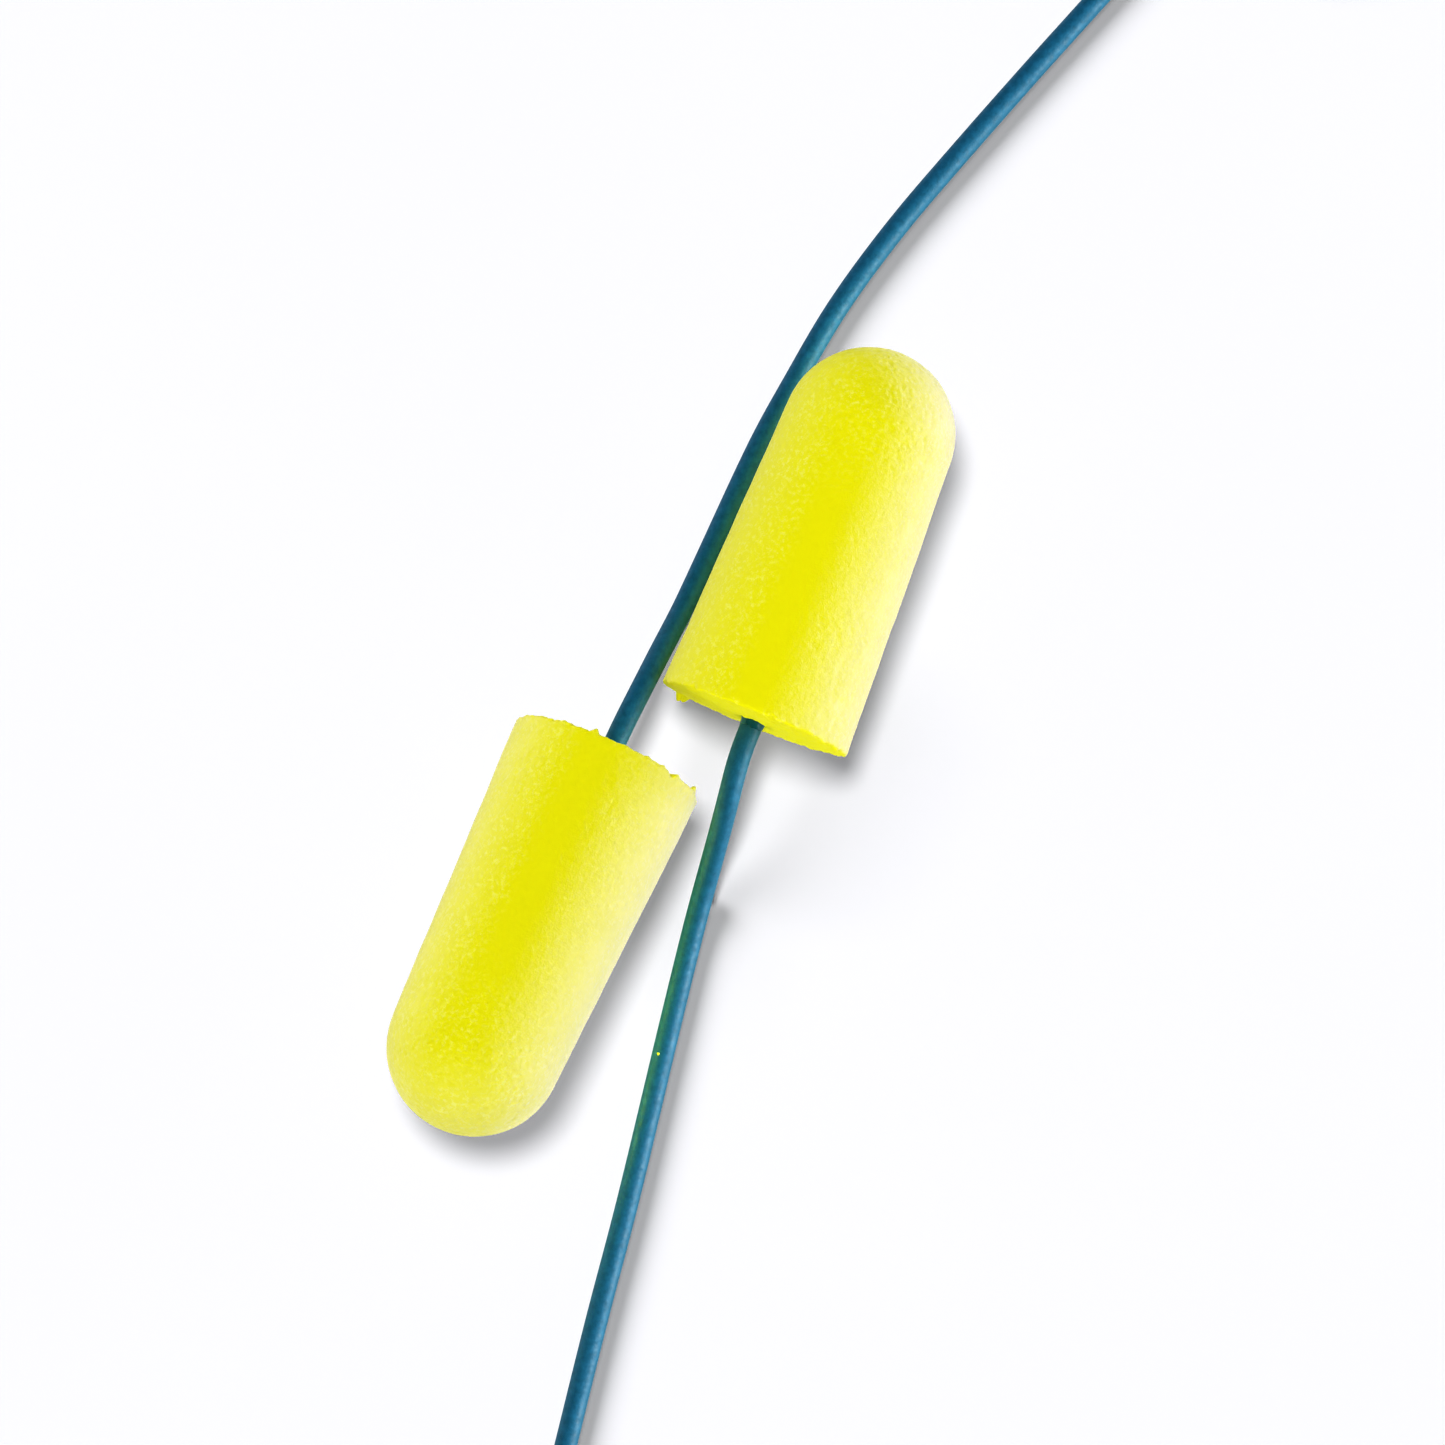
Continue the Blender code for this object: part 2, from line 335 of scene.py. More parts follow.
class Nodes:
    """A material's node tree, with short ways to add and join nodes."""

    def __init__(self, name):
        self.material = bpy.data.materials.new(name)
        self.material.use_nodes = True
        self.tree = self.material.node_tree
        self.shader = self.tree.nodes["Principled BSDF"]
        # The object's own coordinates, in mm
        place = self.add("ShaderNodeTexCoord")
        scale = self.add("ShaderNodeMapping")
        scale.inputs["Scale"].default_value = (1 / MM, 1 / MM, 1 / MM)
        self.join(place.outputs["Object"], scale.inputs["Vector"])
        self.place = scale.outputs["Vector"]

    def add(self, kind, **settings):
        node = self.tree.nodes.new(kind)
        for key, value in settings.items():
            setattr(node, key, value)
        return node

    def join(self, output, socket):
        self.tree.links.new(output, socket)

    def set(self, **values):
        """Sets the shader's own sockets; an underscore in a name stands for a space."""
        for name, value in values.items():
            self.shader.inputs[name.replace("_", " ")].default_value = value

    def noise(self, per_mm, detail=2.0, rough=0.5, distortion=0.0):
        node = self.add("ShaderNodeTexNoise")
        node.inputs["Scale"].default_value = per_mm
        node.inputs["Detail"].default_value = detail
        node.inputs["Roughness"].default_value = rough
        node.inputs["Distortion"].default_value = distortion
        self.join(self.place, node.inputs["Vector"])
        return node.outputs["Fac"]

    def remap(self, value, low, high, to_low=0.0, to_high=1.0):
        node = self.add("ShaderNodeMapRange")
        node.inputs["From Min"].default_value = low
        node.inputs["From Max"].default_value = high
        node.inputs["To Min"].default_value = to_low
        node.inputs["To Max"].default_value = to_high
        self.join(value, node.inputs["Value"])
        return node.outputs["Result"]

    def maths(self, operation, a, b):
        node = self.add("ShaderNodeMath", operation=operation)
        for socket, value in zip(node.inputs, (a, b)):
            if isinstance(value, (int, float)):
                socket.default_value = value
            else:
                self.join(value, socket)
        return node.outputs["Value"]

    def mix(self, factor, a, b):
        """A colour between a and b, each a colour or another node's output."""
        node = self.add("ShaderNodeMix", data_type="RGBA")
        self.join(factor, node.inputs["Factor"])
        sockets = [s for s in node.inputs if s.type == "RGBA"]
        for socket, value in zip(sockets, (a, b)):
            if isinstance(value, tuple):
                socket.default_value = (*value, 1.0)
            else:
                self.join(value, socket)
        return next(o for o in node.outputs if o.type == "RGBA")

    def bump(self, height, depth_mm, strength=1.0, below=None):
        node = self.add("ShaderNodeBump")
        node.inputs["Strength"].default_value = strength
        node.inputs["Distance"].default_value = depth_mm * MM
        self.join(height, node.inputs["Height"])
        if below is not None:
            self.join(below, node.inputs["Normal"])
        return node.outputs["Normal"]

    def plug_in(self, **outputs):
        """Joins node outputs to the shader's sockets, named as in set."""
        for name, output in outputs.items():
            self.join(output, self.shader.inputs[name.replace("_", " ")])


def foam_material():
    """Fluorescent yellow slow-recovery foam: matt, soft-lit from within, with fine open pores, pale flecks
    that are partly pore texture and partly painted sheen, and a faint painted glow.
    """
    m = Nodes("foam_fluorescent_yellow")
    blotch = m.remap(m.noise(0.55, 3.0, 0.6), 0.35, 0.68)
    pore_and_sheen_amount = m.add("ShaderNodeAttribute", attribute_name="pore_and_sheen_flecks").outputs["Fac"]
    fine = m.noise(4.2, 2.5, 0.65)
    grain = m.remap(m.noise(3.4, 3.0, 0.75), 0.50, 0.66)
    patchy = m.remap(blotch, 0.0, 1.0, 0.35, 1.0)
    # Pale flecks where the pores show: partly the foam's own pore texture, partly painted sheen standing in
    # for side light on the skin
    speckle_and_sheen = m.maths("MULTIPLY", grain, m.maths("MULTIPLY", pore_and_sheen_amount, patchy))
    colour = m.mix(speckle_and_sheen, (0.85, 0.82, 0.001), (0.93, 0.92, 0.210))
    crinkle = m.noise(1.5, 3.0, 0.7, distortion=0.6)
    skin = m.maths("MULTIPLY", fine, m.remap(pore_and_sheen_amount, 0.0, 1.0, 0.35, 1.0))
    waves = m.bump(crinkle, 0.16, 0.7)
    m.plug_in(Base_Color=colour, Normal=m.bump(fine, 0.02, 0.8), Coat_Normal=m.bump(skin, 0.11, 1.0, waves))
    m.plug_in(Roughness=m.remap(blotch, 0.0, 1.0, 0.76, 0.84))
    m.set(
        Subsurface_Weight=0.2,
        Subsurface_Radius=(1.0, 0.9, 0.25),
        Subsurface_Scale=0.4 * MM,
        Specular_IOR_Level=0.15,
        Coat_Weight=1.0,
        Coat_Roughness=1.0,
        Coat_IOR=1.5,
        # The emission is a painted yellow glow that brightens the foam under any light, standing in for its
        # fluorescence
        Emission_Color=(0.85, 0.85, 0.0, 1.0),
        Emission_Strength=0.12,
    )
    return m.material


def cord_material():
    """Dark teal-blue soft PVC with a satin skin and faint mottling from the extruder."""
    m = Nodes("cord_blue_pvc")
    mottle = m.remap(m.noise(2.2, 4.0, 0.7), 0.32, 0.68)
    colour = m.mix(mottle, (0.001, 0.118, 0.195), (0.010, 0.170, 0.280))
    skin = m.noise(3.6, 3.0, 0.65)
    m.plug_in(Base_Color=colour, Normal=m.bump(skin, 0.05, 0.6))
    m.plug_in(Roughness=m.remap(skin, 0.3, 0.7, 0.46, 0.66))
    m.set(Specular_IOR_Level=0.7)
    return m.material


def glue_material():
    """Cured adhesive that has crept along the cord, glossy and darker than the cord."""
    m = Nodes("glue_cured")
    cloud = m.remap(m.noise(1.6, 3.0, 0.6), 0.35, 0.65)
    m.plug_in(Base_Color=m.mix(cloud, (0.006, 0.13, 0.18), (0.02, 0.18, 0.22)))
    m.plug_in(Roughness=m.remap(cloud, 0.0, 1.0, 0.28, 0.42))
    m.set(Coat_Weight=0.2, Coat_Roughness=0.2)
    return m.material


def tie_material():
    """Milky plastic strip of a twist tie, with faint scuffs."""
    m = Nodes("tie_milky_plastic")
    scuff = m.remap(m.noise(2.2, 4.0, 0.7), 0.4, 0.7)
    m.plug_in(Base_Color=m.mix(scuff, (0.78, 0.78, 0.76), (0.62, 0.62, 0.60)))
    m.plug_in(Roughness=m.remap(scuff, 0.0, 1.0, 0.32, 0.55), Normal=m.bump(m.noise(3.0), 0.02, 0.4))
    m.set(Subsurface_Weight=0.2, Subsurface_Radius=(1.0, 1.0, 1.0), Subsurface_Scale=0.4 * MM)
    return m.material


def floor_material():
    """A matt floor with no gloss, which its keys light up to white."""
    m = Nodes("floor_white")
    pale, paler = (FLOOR_SHADE,) * 3, (FLOOR_SHADE * 1.02,) * 3
    m.plug_in(Base_Color=m.mix(m.noise(0.02, 2.0), pale, paler))
    m.set(Roughness=0.9, Specular_IOR_Level=0.0)
    return m.material


# ---------------------------------------------------------------- cord

# Where in a lap the cord steps to the next turn, on the lower layer and on the upper one, and how long
# the step takes, in laps
STEP_BELOW, STEP_ABOVE, STEP_SHARE = 0.85, 0.70, 0.15


def coil_points():
    """The coil's turns, clockwise from its left side: inwards on the lower layer, outwards on the upper."""
    innermost = COIL_LAPS_BELOW - 1
    points = []
    for i in range(int(COIL_TURNS * COIL_STEPS) + 1):
        turn = i / COIL_STEPS
        lap = math.floor(turn)
        share = turn - lap
        if lap < COIL_LAPS_BELOW:
            inward = min(lap + smooth((share - STEP_BELOW) / STEP_SHARE), innermost)
            layer = smooth((turn - innermost - STEP_BELOW) / STEP_SHARE)
        else:
            laps_left = innermost + COIL_LAPS_BELOW - lap
            inward = max(laps_left - smooth((share - STEP_ABOVE) / STEP_SHARE), 0.0)
            layer = 1.0
        radius = COIL_MEAN_RADIUS + (1.0 - inward) * LAYER_GAP
        angle = math.pi - 2.0 * math.pi * turn
        x = COIL_CENTRE[0] + radius * math.cos(angle)
        y = COIL_CENTRE[1] + radius * math.sin(angle)
        points.append((x, y, COIL_LIES_AT + layer * LAYER_GAP))
    return points


def cord_line():
    """The whole cord's centreline in mm, from deep in the left plug round to deep in the right one."""
    # Points on each straight end, by their distance from the plug's base
    straight = (CORD_BONDED, 5.0, 2.0, 0.0, -0.5 * PIVOT_OUT, -PIVOT_OUT)
    left = [tuple(PLACES["left"].point(along) / MM) for along in straight]
    right = [tuple(PLACES["right"].point(along) / MM) for along in reversed(straight)]
    route = left + ROUTE_LEFT + coil_points() + ROUTE_RIGHT[::-1] + right
    line = catmull_rom(np.array(route), CURVE_STEPS)
    line = eased(even_steps(line, CORD_STEP), CORD_EASING)
    # The curve's dips between its points don't go into the table
    line[:, 2] = np.maximum(line[:, 2], CORD_LIES_AT)
    return line


def split_index(line, distance):
    """The first point of the polyline that is at least distance from its start, along it."""
    run = np.cumsum(np.linalg.norm(np.diff(line, axis=0), axis=1))
    return int(np.searchsorted(run, distance)) + 1


def make_cord(material):
    """The cord in three pieces that share their rings: a root at each plug, and the rest."""
    line = cord_line()
    turn = np.linspace(0.0, 2.0 * math.pi, CORD_SIDES, endpoint=False)
    section = CORD_RADIUS * np.stack([np.cos(turn), np.sin(turn)], axis=1)
    rings = swept_rings(line, *carried_frames(line), section)
    first = split_index(line, CORD_BONDED + ROOT_OUT)
    last = len(line) - 1 - split_index(line[::-1], CORD_BONDED + ROOT_OUT)
    roots = {
        "left": tube_object("cord_root_left", rings[: first + 1], material),
        "right": tube_object("cord_root_right", rings[last:], material),
    }
    cord = tube_object("cord", rings[first : last + 1], material)
    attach(cord, "cord")
    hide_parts("cord_run_left", "cord_run_right", "cord_coil")
    for side, root in roots.items():
        start, end = (PLACES[side].point(-out) for out in (BEND_STARTS, BEND_ENDS))
        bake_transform(root)
        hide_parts(f"cord_end_{side}")
    return cord, roots, line[first : last + 1]


# ---------------------------------------------------------------- foam plugs

# How finely the foam is divided: round it, over the tip, down the side, round the edge and over the base
AROUND = 288
TIP_ROWS, SIDE_ROWS, EDGE_ROWS, FACE_ROWS = 66, 136, 7, 36
CUT_EDGE = 0.15
BASE_CROWN = 0.22
NOISE_SEEDS = {"left": Vector((11.3, 4.7, 2.9)), "right": Vector((37.1, 21.9, 8.3))}

# Ragged features of each cut edge: (angle from the top towards the right in degrees, width in degrees,
# how far it stands out from the base in mm; a notch is negative)
EDGE_MARKS = {
    "left": [
        (-9.0, 2.6, 0.36),
        (26.0, 1.6, 0.10),
        (37.0, 1.8, 0.14),
        (45.0, 3.4, -0.26),
        (50.0, 1.8, 0.12),
        (74.0, 2.4, 0.40),
    ],
    "right": [
        (-123.0, 3.6, 0.50),
        (-128.0, 3.0, 0.46),
        (-68.0, 2.6, 0.14),
        (-41.0, 1.8, -0.12),
        (-20.0, 2.4, 0.10),
        (12.0, 2.0, -0.14),
        (50.0, 2.4, 0.12),
        (66.0, 2.6, 0.16),
    ],
}


def foam_outline(length):
    """(radius, height, skin) rings in mm from the tip to the bottom of the bore; skin is 0 inside it."""
    tip = length - TIP_RADIUS
    taper = math.atan2(BASE_RADIUS - TIP_RADIUS, tip)
    rings = []
    for a in np.linspace(0.5 * math.pi, taper, TIP_ROWS)[1:]:
        rings.append((TIP_RADIUS * math.cos(a), tip + TIP_RADIUS * math.sin(a), 1.0))
    radius, height, _ = rings[-1]
    for t in np.linspace(0.0, 1.0, SIDE_ROWS)[1:]:
        rings.append((radius + (BASE_RADIUS - radius) * t, height + (CUT_EDGE - height) * t, 1.0))
    face_radius = BASE_RADIUS - CUT_EDGE
    for a in np.linspace(0.0, 0.5 * math.pi, EDGE_ROWS)[1:]:
        rings.append((face_radius + CUT_EDGE * math.cos(a), CUT_EDGE - CUT_EDGE * math.sin(a), 1.0))
    for t in np.linspace(0.0, 1.0, FACE_ROWS)[1:]:
        skin = 1.0 - smooth((t - 0.9) / 0.1)
        rings.append((face_radius + (MOUTH_RADIUS - face_radius) * t, 0.0, skin))
    return rings + [
        (MOUTH_RADIUS, 0.12, 0.0),
        (MOUTH_RADIUS + 0.1, 0.3, 0.0),
        (BORE_RADIUS, 0.6, 0.0),
        (BORE_RADIUS, 4.0, 0.0),
        (BORE_RADIUS, BORE_DEPTH, 0.0),
    ]


def foam_relief(point, height, length, base_share):
    """How far the skin stands out, in mm, at a point in the plug's own mm.

    Each kind of unevenness is its height in mm times noise, and the point's factor is its fineness.
    """
    lumps = 0.045 * noise.noise(point * 0.13) + 0.025 * noise.noise(point * 0.45)
    near_tip = smooth((height - (length - 11.0)) / 6.0)
    near_base = smooth((11.0 - height) / 8.0)
    peel = (0.4 + 0.6 * near_base) * (0.013 * noise.noise(point * 1.7) + 0.010 * noise.noise(point * 3.3))
    pores = -0.035 * smooth((noise.noise(point * 2.7) - 0.22) / 0.2) * (0.25 + 0.75 * near_tip)
    drawn = Vector((point.x, point.y, point.z * 0.55))
    patch = smooth((noise.noise(drawn * 0.42 + Vector((5, 9, 2))) + 0.10) / 0.3)
    hollows = -0.030 * smooth((noise.noise(drawn * 2.1) - 0.10) / 0.18) * patch * (0.15 + 0.85 * near_base)
    cut = base_share * (0.07 * noise.noise(point * 1.3) + 0.06 * noise.noise(point * 3.1))
    return lumps + peel + pores + hollows + cut


def ragged_edge(degrees, side):
    """How far the cut edge stands out from the base at each angle, in mm, with tabs of flash and notches."""
    seed = NOISE_SEEDS[side]
    rag = []
    for a in degrees:
        slow = 0.05 * noise.noise(Vector((a * 0.10, 3.0, seed.x)))
        rag.append(slow + 0.04 * noise.noise(Vector((a * 0.8, 7.0, seed.y))))
    rag = np.array(rag)
    for centre, width, reach in EDGE_MARKS[side]:
        off = (degrees - centre) / width
        rag += reach * np.clip(1.0 - np.abs(off), 0.0, 1.0) ** 0.7
    return rag


def pore_and_sheen_share(radius, height, turn, degrees, base_share, side):
    """How strongly the pores and the painted sheen show at each ring and angle: on the tip, the flanks and
    in flecks on the rim.
    """
    near_tip = smooth((height - (LENGTH[side] - 12.0)) / 8.0)
    # The pale flecks on the flanks are partly painted sheen, twice as strong on the flank at negative angles
    # as on the other
    flank = smooth((np.abs(np.sin(turn) + 0.05) - 0.12) / 0.25) * np.where(np.sin(turn) < 0.0, 1.0, 0.5)
    # On the rim the pale flecks are partly torn skin and partly a painted highlight on its raised edge
    rim = smooth((radius - (BASE_RADIUS - 0.30)) / 0.15) * smooth((0.35 - height) / 0.15)
    waver = np.array([noise.noise(Vector((a * 0.16, 5.0, NOISE_SEEDS[side].z))) for a in degrees])
    flecks = smooth((waver - 0.05) / 0.15)
    return np.maximum(np.maximum(near_tip, flank * (1.0 - base_share)), 1.6 * rim * flecks)


def make_foam(side, material):
    """The foam plug as one dense closed mesh, with its skin's relief and its ragged cut edge."""
    length = LENGTH[side]
    outline = foam_outline(length)
    rows = len(outline)
    radius, height, skin = (np.array(values)[:, None] for values in zip(*outline))
    turn = np.linspace(0.0, 2.0 * math.pi, AROUND, endpoint=False)
    degrees = np.degrees((turn + math.pi) % (2.0 * math.pi) - math.pi)
    base_share = smooth((0.36 - height) / 0.30) * skin
    relief = np.zeros((rows, AROUND))
    for i in np.flatnonzero(skin > 0.0):
        for k, angle in enumerate(turn):
            spot = Vector((radius[i, 0] * math.cos(angle), radius[i, 0] * math.sin(angle), height[i, 0]))
            spot += NOISE_SEEDS[side]
            relief[i, k] = foam_relief(spot, height[i, 0], length, base_share[i, 0])
    relief *= skin
    # Outward normal of the turned outline, in its own plane
    slope = np.stack([np.gradient(height[:, 0]), -np.gradient(radius[:, 0])], axis=1)
    slope /= np.linalg.norm(slope, axis=1)[:, None]
    out_radius, out_height = -slope[:, :1], -slope[:, 1:]
    at_edge = smooth((radius - (BASE_RADIUS - 0.55)) / 0.35) * smooth((0.6 - height) / 0.5)
    crown = BASE_CROWN * (1.0 - (radius / BASE_RADIUS) ** 2) * base_share
    new_radius = radius + out_radius * relief
    new_height = height + out_height * relief - at_edge * ragged_edge(degrees, side) - crown
    points = PLACES[side].turned(new_radius, new_height, turn).reshape(-1, 3)
    ends = PLACES[side].turned(np.zeros(2), np.array((length + 0.02, BORE_DEPTH)), 0.0)
    points = np.vstack([points, ends])
    points[:, 2] = np.maximum(points[:, 2], 0.0)
    faces = grid_faces(rows, AROUND)
    tip, bore_end = rows * AROUND, rows * AROUND + 1
    last = (rows - 1) * AROUND
    for k in range(AROUND):
        after = (k + 1) % AROUND
        faces.append((k, after, tip))
        faces.append((last + k, last + after, bore_end))
    foam = mesh_object(f"foam_plug_skin_{side}", points, faces, material)
    # Where the pale flecks of pores and painted sheen show, for the material
    pore_and_sheen_flecks = np.append(pore_and_sheen_share(radius, height, turn, degrees, base_share, side), (1.0, 0.0))
    foam.data.attributes.new("pore_and_sheen_flecks", "FLOAT", "POINT").data.foreach_set("value", pore_and_sheen_flecks)
    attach(foam, f"plug_{side}")
    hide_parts(f"foam_plug_{side}")
    return foam


# ---------------------------------------------------------------- adhesive

GLUE_SIDES = 48
# (radius, depth in the bore) from deep in the bore out over its mouth, along the film that thins out on
# the cord, and back in along the cord; a negative depth is outside the bore
GLUE_OUTLINE = [
    (BORE_RADIUS - 0.05, 3.0),
    (BORE_RADIUS - 0.05, 0.65),
    (MOUTH_RADIUS - 0.03, 0.2),
    (MOUTH_RADIUS - 0.05, 0.02),
    (0.81, -0.08),
    (0.77, -0.18),
    (0.745, -0.32),
    (0.725, -0.50),
    (CORD_RADIUS, -0.58),
    (CORD_RADIUS, 0.5),
    (CORD_RADIUS, 3.0),
]


def make_glue(side, material):
    """The adhesive's visible rim: a low uneven meniscus on the foam and a thin film up the cord."""
    seed = NOISE_SEEDS[side]
    radii, heights, angles = [], [], []
    for radius, height in GLUE_OUTLINE:
        for k in range(GLUE_SIDES):
            a = 2.0 * math.pi * k / GLUE_SIDES
            x, y = math.cos(a), math.sin(a)
            creep = 0.12 * noise.noise(Vector((2.0 * x, 2.0 * y, seed.z))) * smooth(-height / 0.3)
            grow = 0.05 * noise.noise(Vector((3.0 * x, 3.0 * y, height * 2.0 + seed.x)))
            uneven = radius > CORD_RADIUS + 0.02 and height < 0.1
            radii.append(max(radius + (grow if uneven else 0.0), CORD_RADIUS))
            heights.append(height - creep)
            angles.append(a)
    points = PLACES[side].turned(np.array(radii), np.array(heights), np.array(angles))
    faces = grid_faces(len(GLUE_OUTLINE), GLUE_SIDES, closed=True)
    glue = mesh_object(f"glue_meniscus_{side}", points, faces, material)
    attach(glue, f"plug_{side}")
    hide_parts(f"glue_bond_{side}")
    return glue


# ---------------------------------------------------------------- tie and crumb

TIE_WIDTH = 2.4
TIE_THICK = 0.12
TIE_CORE = 0.14
TIE_SLACK = 0.16
TIE_UNDER = 0.13
TIE_CORNER = 0.7
TIE_TOP = COIL_LIES_AT + 3 * CORD_RADIUS + TIE_SLACK
TIE_STEP = 0.35

# The tie's two ends: their width, their length, how often they twist and how far above the loop they start
TIE_END_WIDTH = 1.1
TIE_END_LONG = 7.0
TIE_TWISTS = 2.2
TIE_END_ABOVE = 0.62

# The crumb of foam: the point of the table it is nearest to, where it sits on the cord, and its half sizes
CRUMB_NEAR = (-0.55, -18.9, CORD_LIES_AT)
CRUMB_ON_CORD = Vector((-0.28, 0.0, 0.66))
CRUMB_SIZE = (0.08, 0.10, 0.07)


def ribbon_rings(line, wide_way, width):
    """Rings of a flat strip with a raised wire core along its middle; wide_way lies across the strip."""
    tangents = unit_tangents(line)
    wide = wide_way - tangents * np.sum(wide_way * tangents, axis=1)[:, None]
    wide /= np.linalg.norm(wide, axis=1)[:, None]
    upper = []
    for x in np.linspace(-1.0, 1.0, 17):
        ridge = (TIE_CORE - 0.5 * TIE_THICK) * math.exp(-((x / 0.16) ** 2))
        upper.append((0.5 * width * x, 0.5 * TIE_THICK + ridge))
    section = np.array(upper + [(x, -y) for x, y in reversed(upper)])
    return swept_rings(line, wide, np.cross(tangents, wide), section)


def tie_loop_line():
    """The loop's middle line in mm, a rounded rectangle that stands across the coil's turns."""
    reach_in = math.sqrt((COIL_MEAN_RADIUS - 3 * CORD_RADIUS) ** 2 - (0.5 * TIE_WIDTH) ** 2)
    near = reach_in - TIE_SLACK + TIE_CORNER
    far = COIL_MEAN_RADIUS + 3 * CORD_RADIUS + TIE_SLACK - TIE_CORNER
    low = COIL_LIES_AT - CORD_RADIUS - TIE_UNDER + TIE_CORNER
    high = TIE_TOP - TIE_CORNER
    loop = []
    for y, z, start in ((near, high, 90.0), (near, low, 180.0), (far, low, 270.0), (far, high, 0.0)):
        for step in range(9):
            a = math.radians(start + 90.0 * step / 8)
            loop.append((0.0, y + TIE_CORNER * math.cos(a), z + TIE_CORNER * math.sin(a)))
    loop = np.array(loop + loop[:1]) + np.array((*COIL_CENTRE, 0.0))
    return even_steps(loop, TIE_STEP)[:-1]


def tie_end_line(half):
    """One end's middle line in mm and the ways across it, wound about the other end and then spread."""
    t = np.linspace(0.0, 1.0, 70)
    spin = math.pi * half + 2.0 * math.pi * TIE_TWISTS * t
    opening = 0.30 + 0.9 * smooth((t - 0.72) / 0.28)
    x = COIL_CENTRE[0] + opening * np.cos(spin)
    y = COIL_CENTRE[1] + COIL_MEAN_RADIUS + 0.6 - TIE_END_LONG * t
    z = TIE_TOP + TIE_END_ABOVE + 0.35 * np.sin(math.pi * t) - 0.2 * t + 0.55 * opening * np.sin(spin)
    across = np.stack([-np.sin(spin), np.zeros_like(t), np.cos(spin)], axis=1)
    return np.stack([x, y, z], axis=1), across


def make_tie(material):
    """A twist tie: a loop of flat strip round the coil's turns, its two ends twisted together."""
    loop = tie_loop_line()
    around = np.vstack([loop[-1:], loop, loop[:1]])
    rings = ribbon_rings(around, np.array((1.0, 0.0, 0.0)), TIE_WIDTH)[1:-1]
    faces = grid_faces(*rings.shape[:2], closed=True)
    tie = mesh_object("twist_tie_loop", rings.reshape(-1, 3), faces, material)
    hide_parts("coil_tie")
    pieces = [tie]
    for half in (0, 1):
        rings = ribbon_rings(*tie_end_line(half), TIE_END_WIDTH)
        pieces.append(tube_object(f"twist_tie_end_{half + 1}", rings, material))
    for piece in pieces:
        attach(piece, "cord")
    return pieces


def make_crumb(line, material):
    """A crumb of foam that clings to the cord, part way down from the right plug."""
    reach = np.linalg.norm(line - np.array(CRUMB_NEAR), axis=1)
    spot = Vector(line[int(np.argmin(reach))]) + CRUMB_ON_CORD
    edit = bmesh.new()
    bmesh.ops.create_icosphere(edit, subdivisions=3, radius=1.0)
    for vert in edit.verts:
        rough = 1.0 + 0.55 * noise.noise(vert.co * 1.8 + Vector((3, 1, 7)))
        vert.co = Vector([at * half for at, half in zip(vert.co, CRUMB_SIZE)]) * rough
    mesh = bpy.data.meshes.new("foam_crumb")
    edit.to_mesh(mesh)
    edit.free()
    mesh.transform(Matrix.Translation(spot * MM) @ Matrix.Scale(MM, 4))
    mesh.shade_smooth()
    mesh.materials.append(material)
    # The crumb shows the foam's pale flecks all over, which are partly pore texture and partly painted sheen
    pore_and_sheen_flecks = [1.0] * len(mesh.vertices)
    mesh.attributes.new("pore_and_sheen_flecks", "FLOAT", "POINT").data.foreach_set("value", pore_and_sheen_flecks)
    crumb = link(bpy.data.objects.new("foam_crumb", mesh))
    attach(crumb, "cord")
    return crumb


# ---------------------------------------------------------------- stage and light

FLOOR_SHADE = 0.07

# The two ways that light falls on the floor: heading, height and spread in degrees, and colour. The
# plugs stand high and the loose cord lies flat, so each needs its own height for a shadow close to it.
STEEP = {"heading": -48.0, "height": 83.0, "spread": 15.0, "colour": (0.995, 0.996, 1.01)}
LOW = {"heading": -35.0, "height": 39.0, "spread": 33.0, "colour": (0.994, 0.994, 1.035)}

# Light that a white table throws up on the plugs' flanks
SHEEN_COLOUR = (0.60, 0.56, 1.0)
SHEEN_SIZE = (0.34, 0.09)

# A plug's own glow: (distance from its base in mm, power in W) for each lamp inside it, how far below
# the axis they are, and their softness and colour
GLOW = {
    "left": ((3.0, 0.0008), (12.0, 0.0015), (20.0, 0.0027)),
    "right": ((3.0, 0.0004), (12.0, 0.0004), (20.0, 0.0004)),
}
GLOW_BELOW = 3.2
GLOW_SOFTNESS = 2.5
GLOW_COLOUR = (0.80, 1.0, 0.02)


def make_floor():
    """A wide floor just under everything that lies on it."""
    bpy.ops.mesh.primitive_plane_add(size=20.0, location=(0.0, 0.0, -0.01 * MM))
    floor = bpy.context.object
    floor.name = "floor"
    floor.data.materials.append(floor_material())
    floor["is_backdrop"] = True
    return floor


def make_surroundings():
    """An even pale sky that gloss doesn't reflect, and a view curve that deepens the middle tones."""
    scene = bpy.context.scene
    scene.view_settings.view_transform = "Standard"
    scene.view_settings.gamma = 0.70
    world = bpy.data.worlds.new("surroundings")
    scene.world = world
    world.use_nodes = True
    sky = world.node_tree.nodes["Background"]
    sky.inputs["Color"].default_value = (0.90, 0.92, 1.18, 1.0)
    sky.inputs["Strength"].default_value = 0.24
    world.cycles_visibility.glossy = False


def aim_at(light, target):
    """Turns the light to face the target."""
    light.rotation_euler = (target - light.location).to_track_quat("-Z", "Y").to_euler()


def group(name, objects):
    """A collection of objects that a light is limited to; it isn't part of the scene itself."""
    collection = bpy.data.collections.new(name)
    for obj in objects:
        collection.objects.link(obj)
    return collection


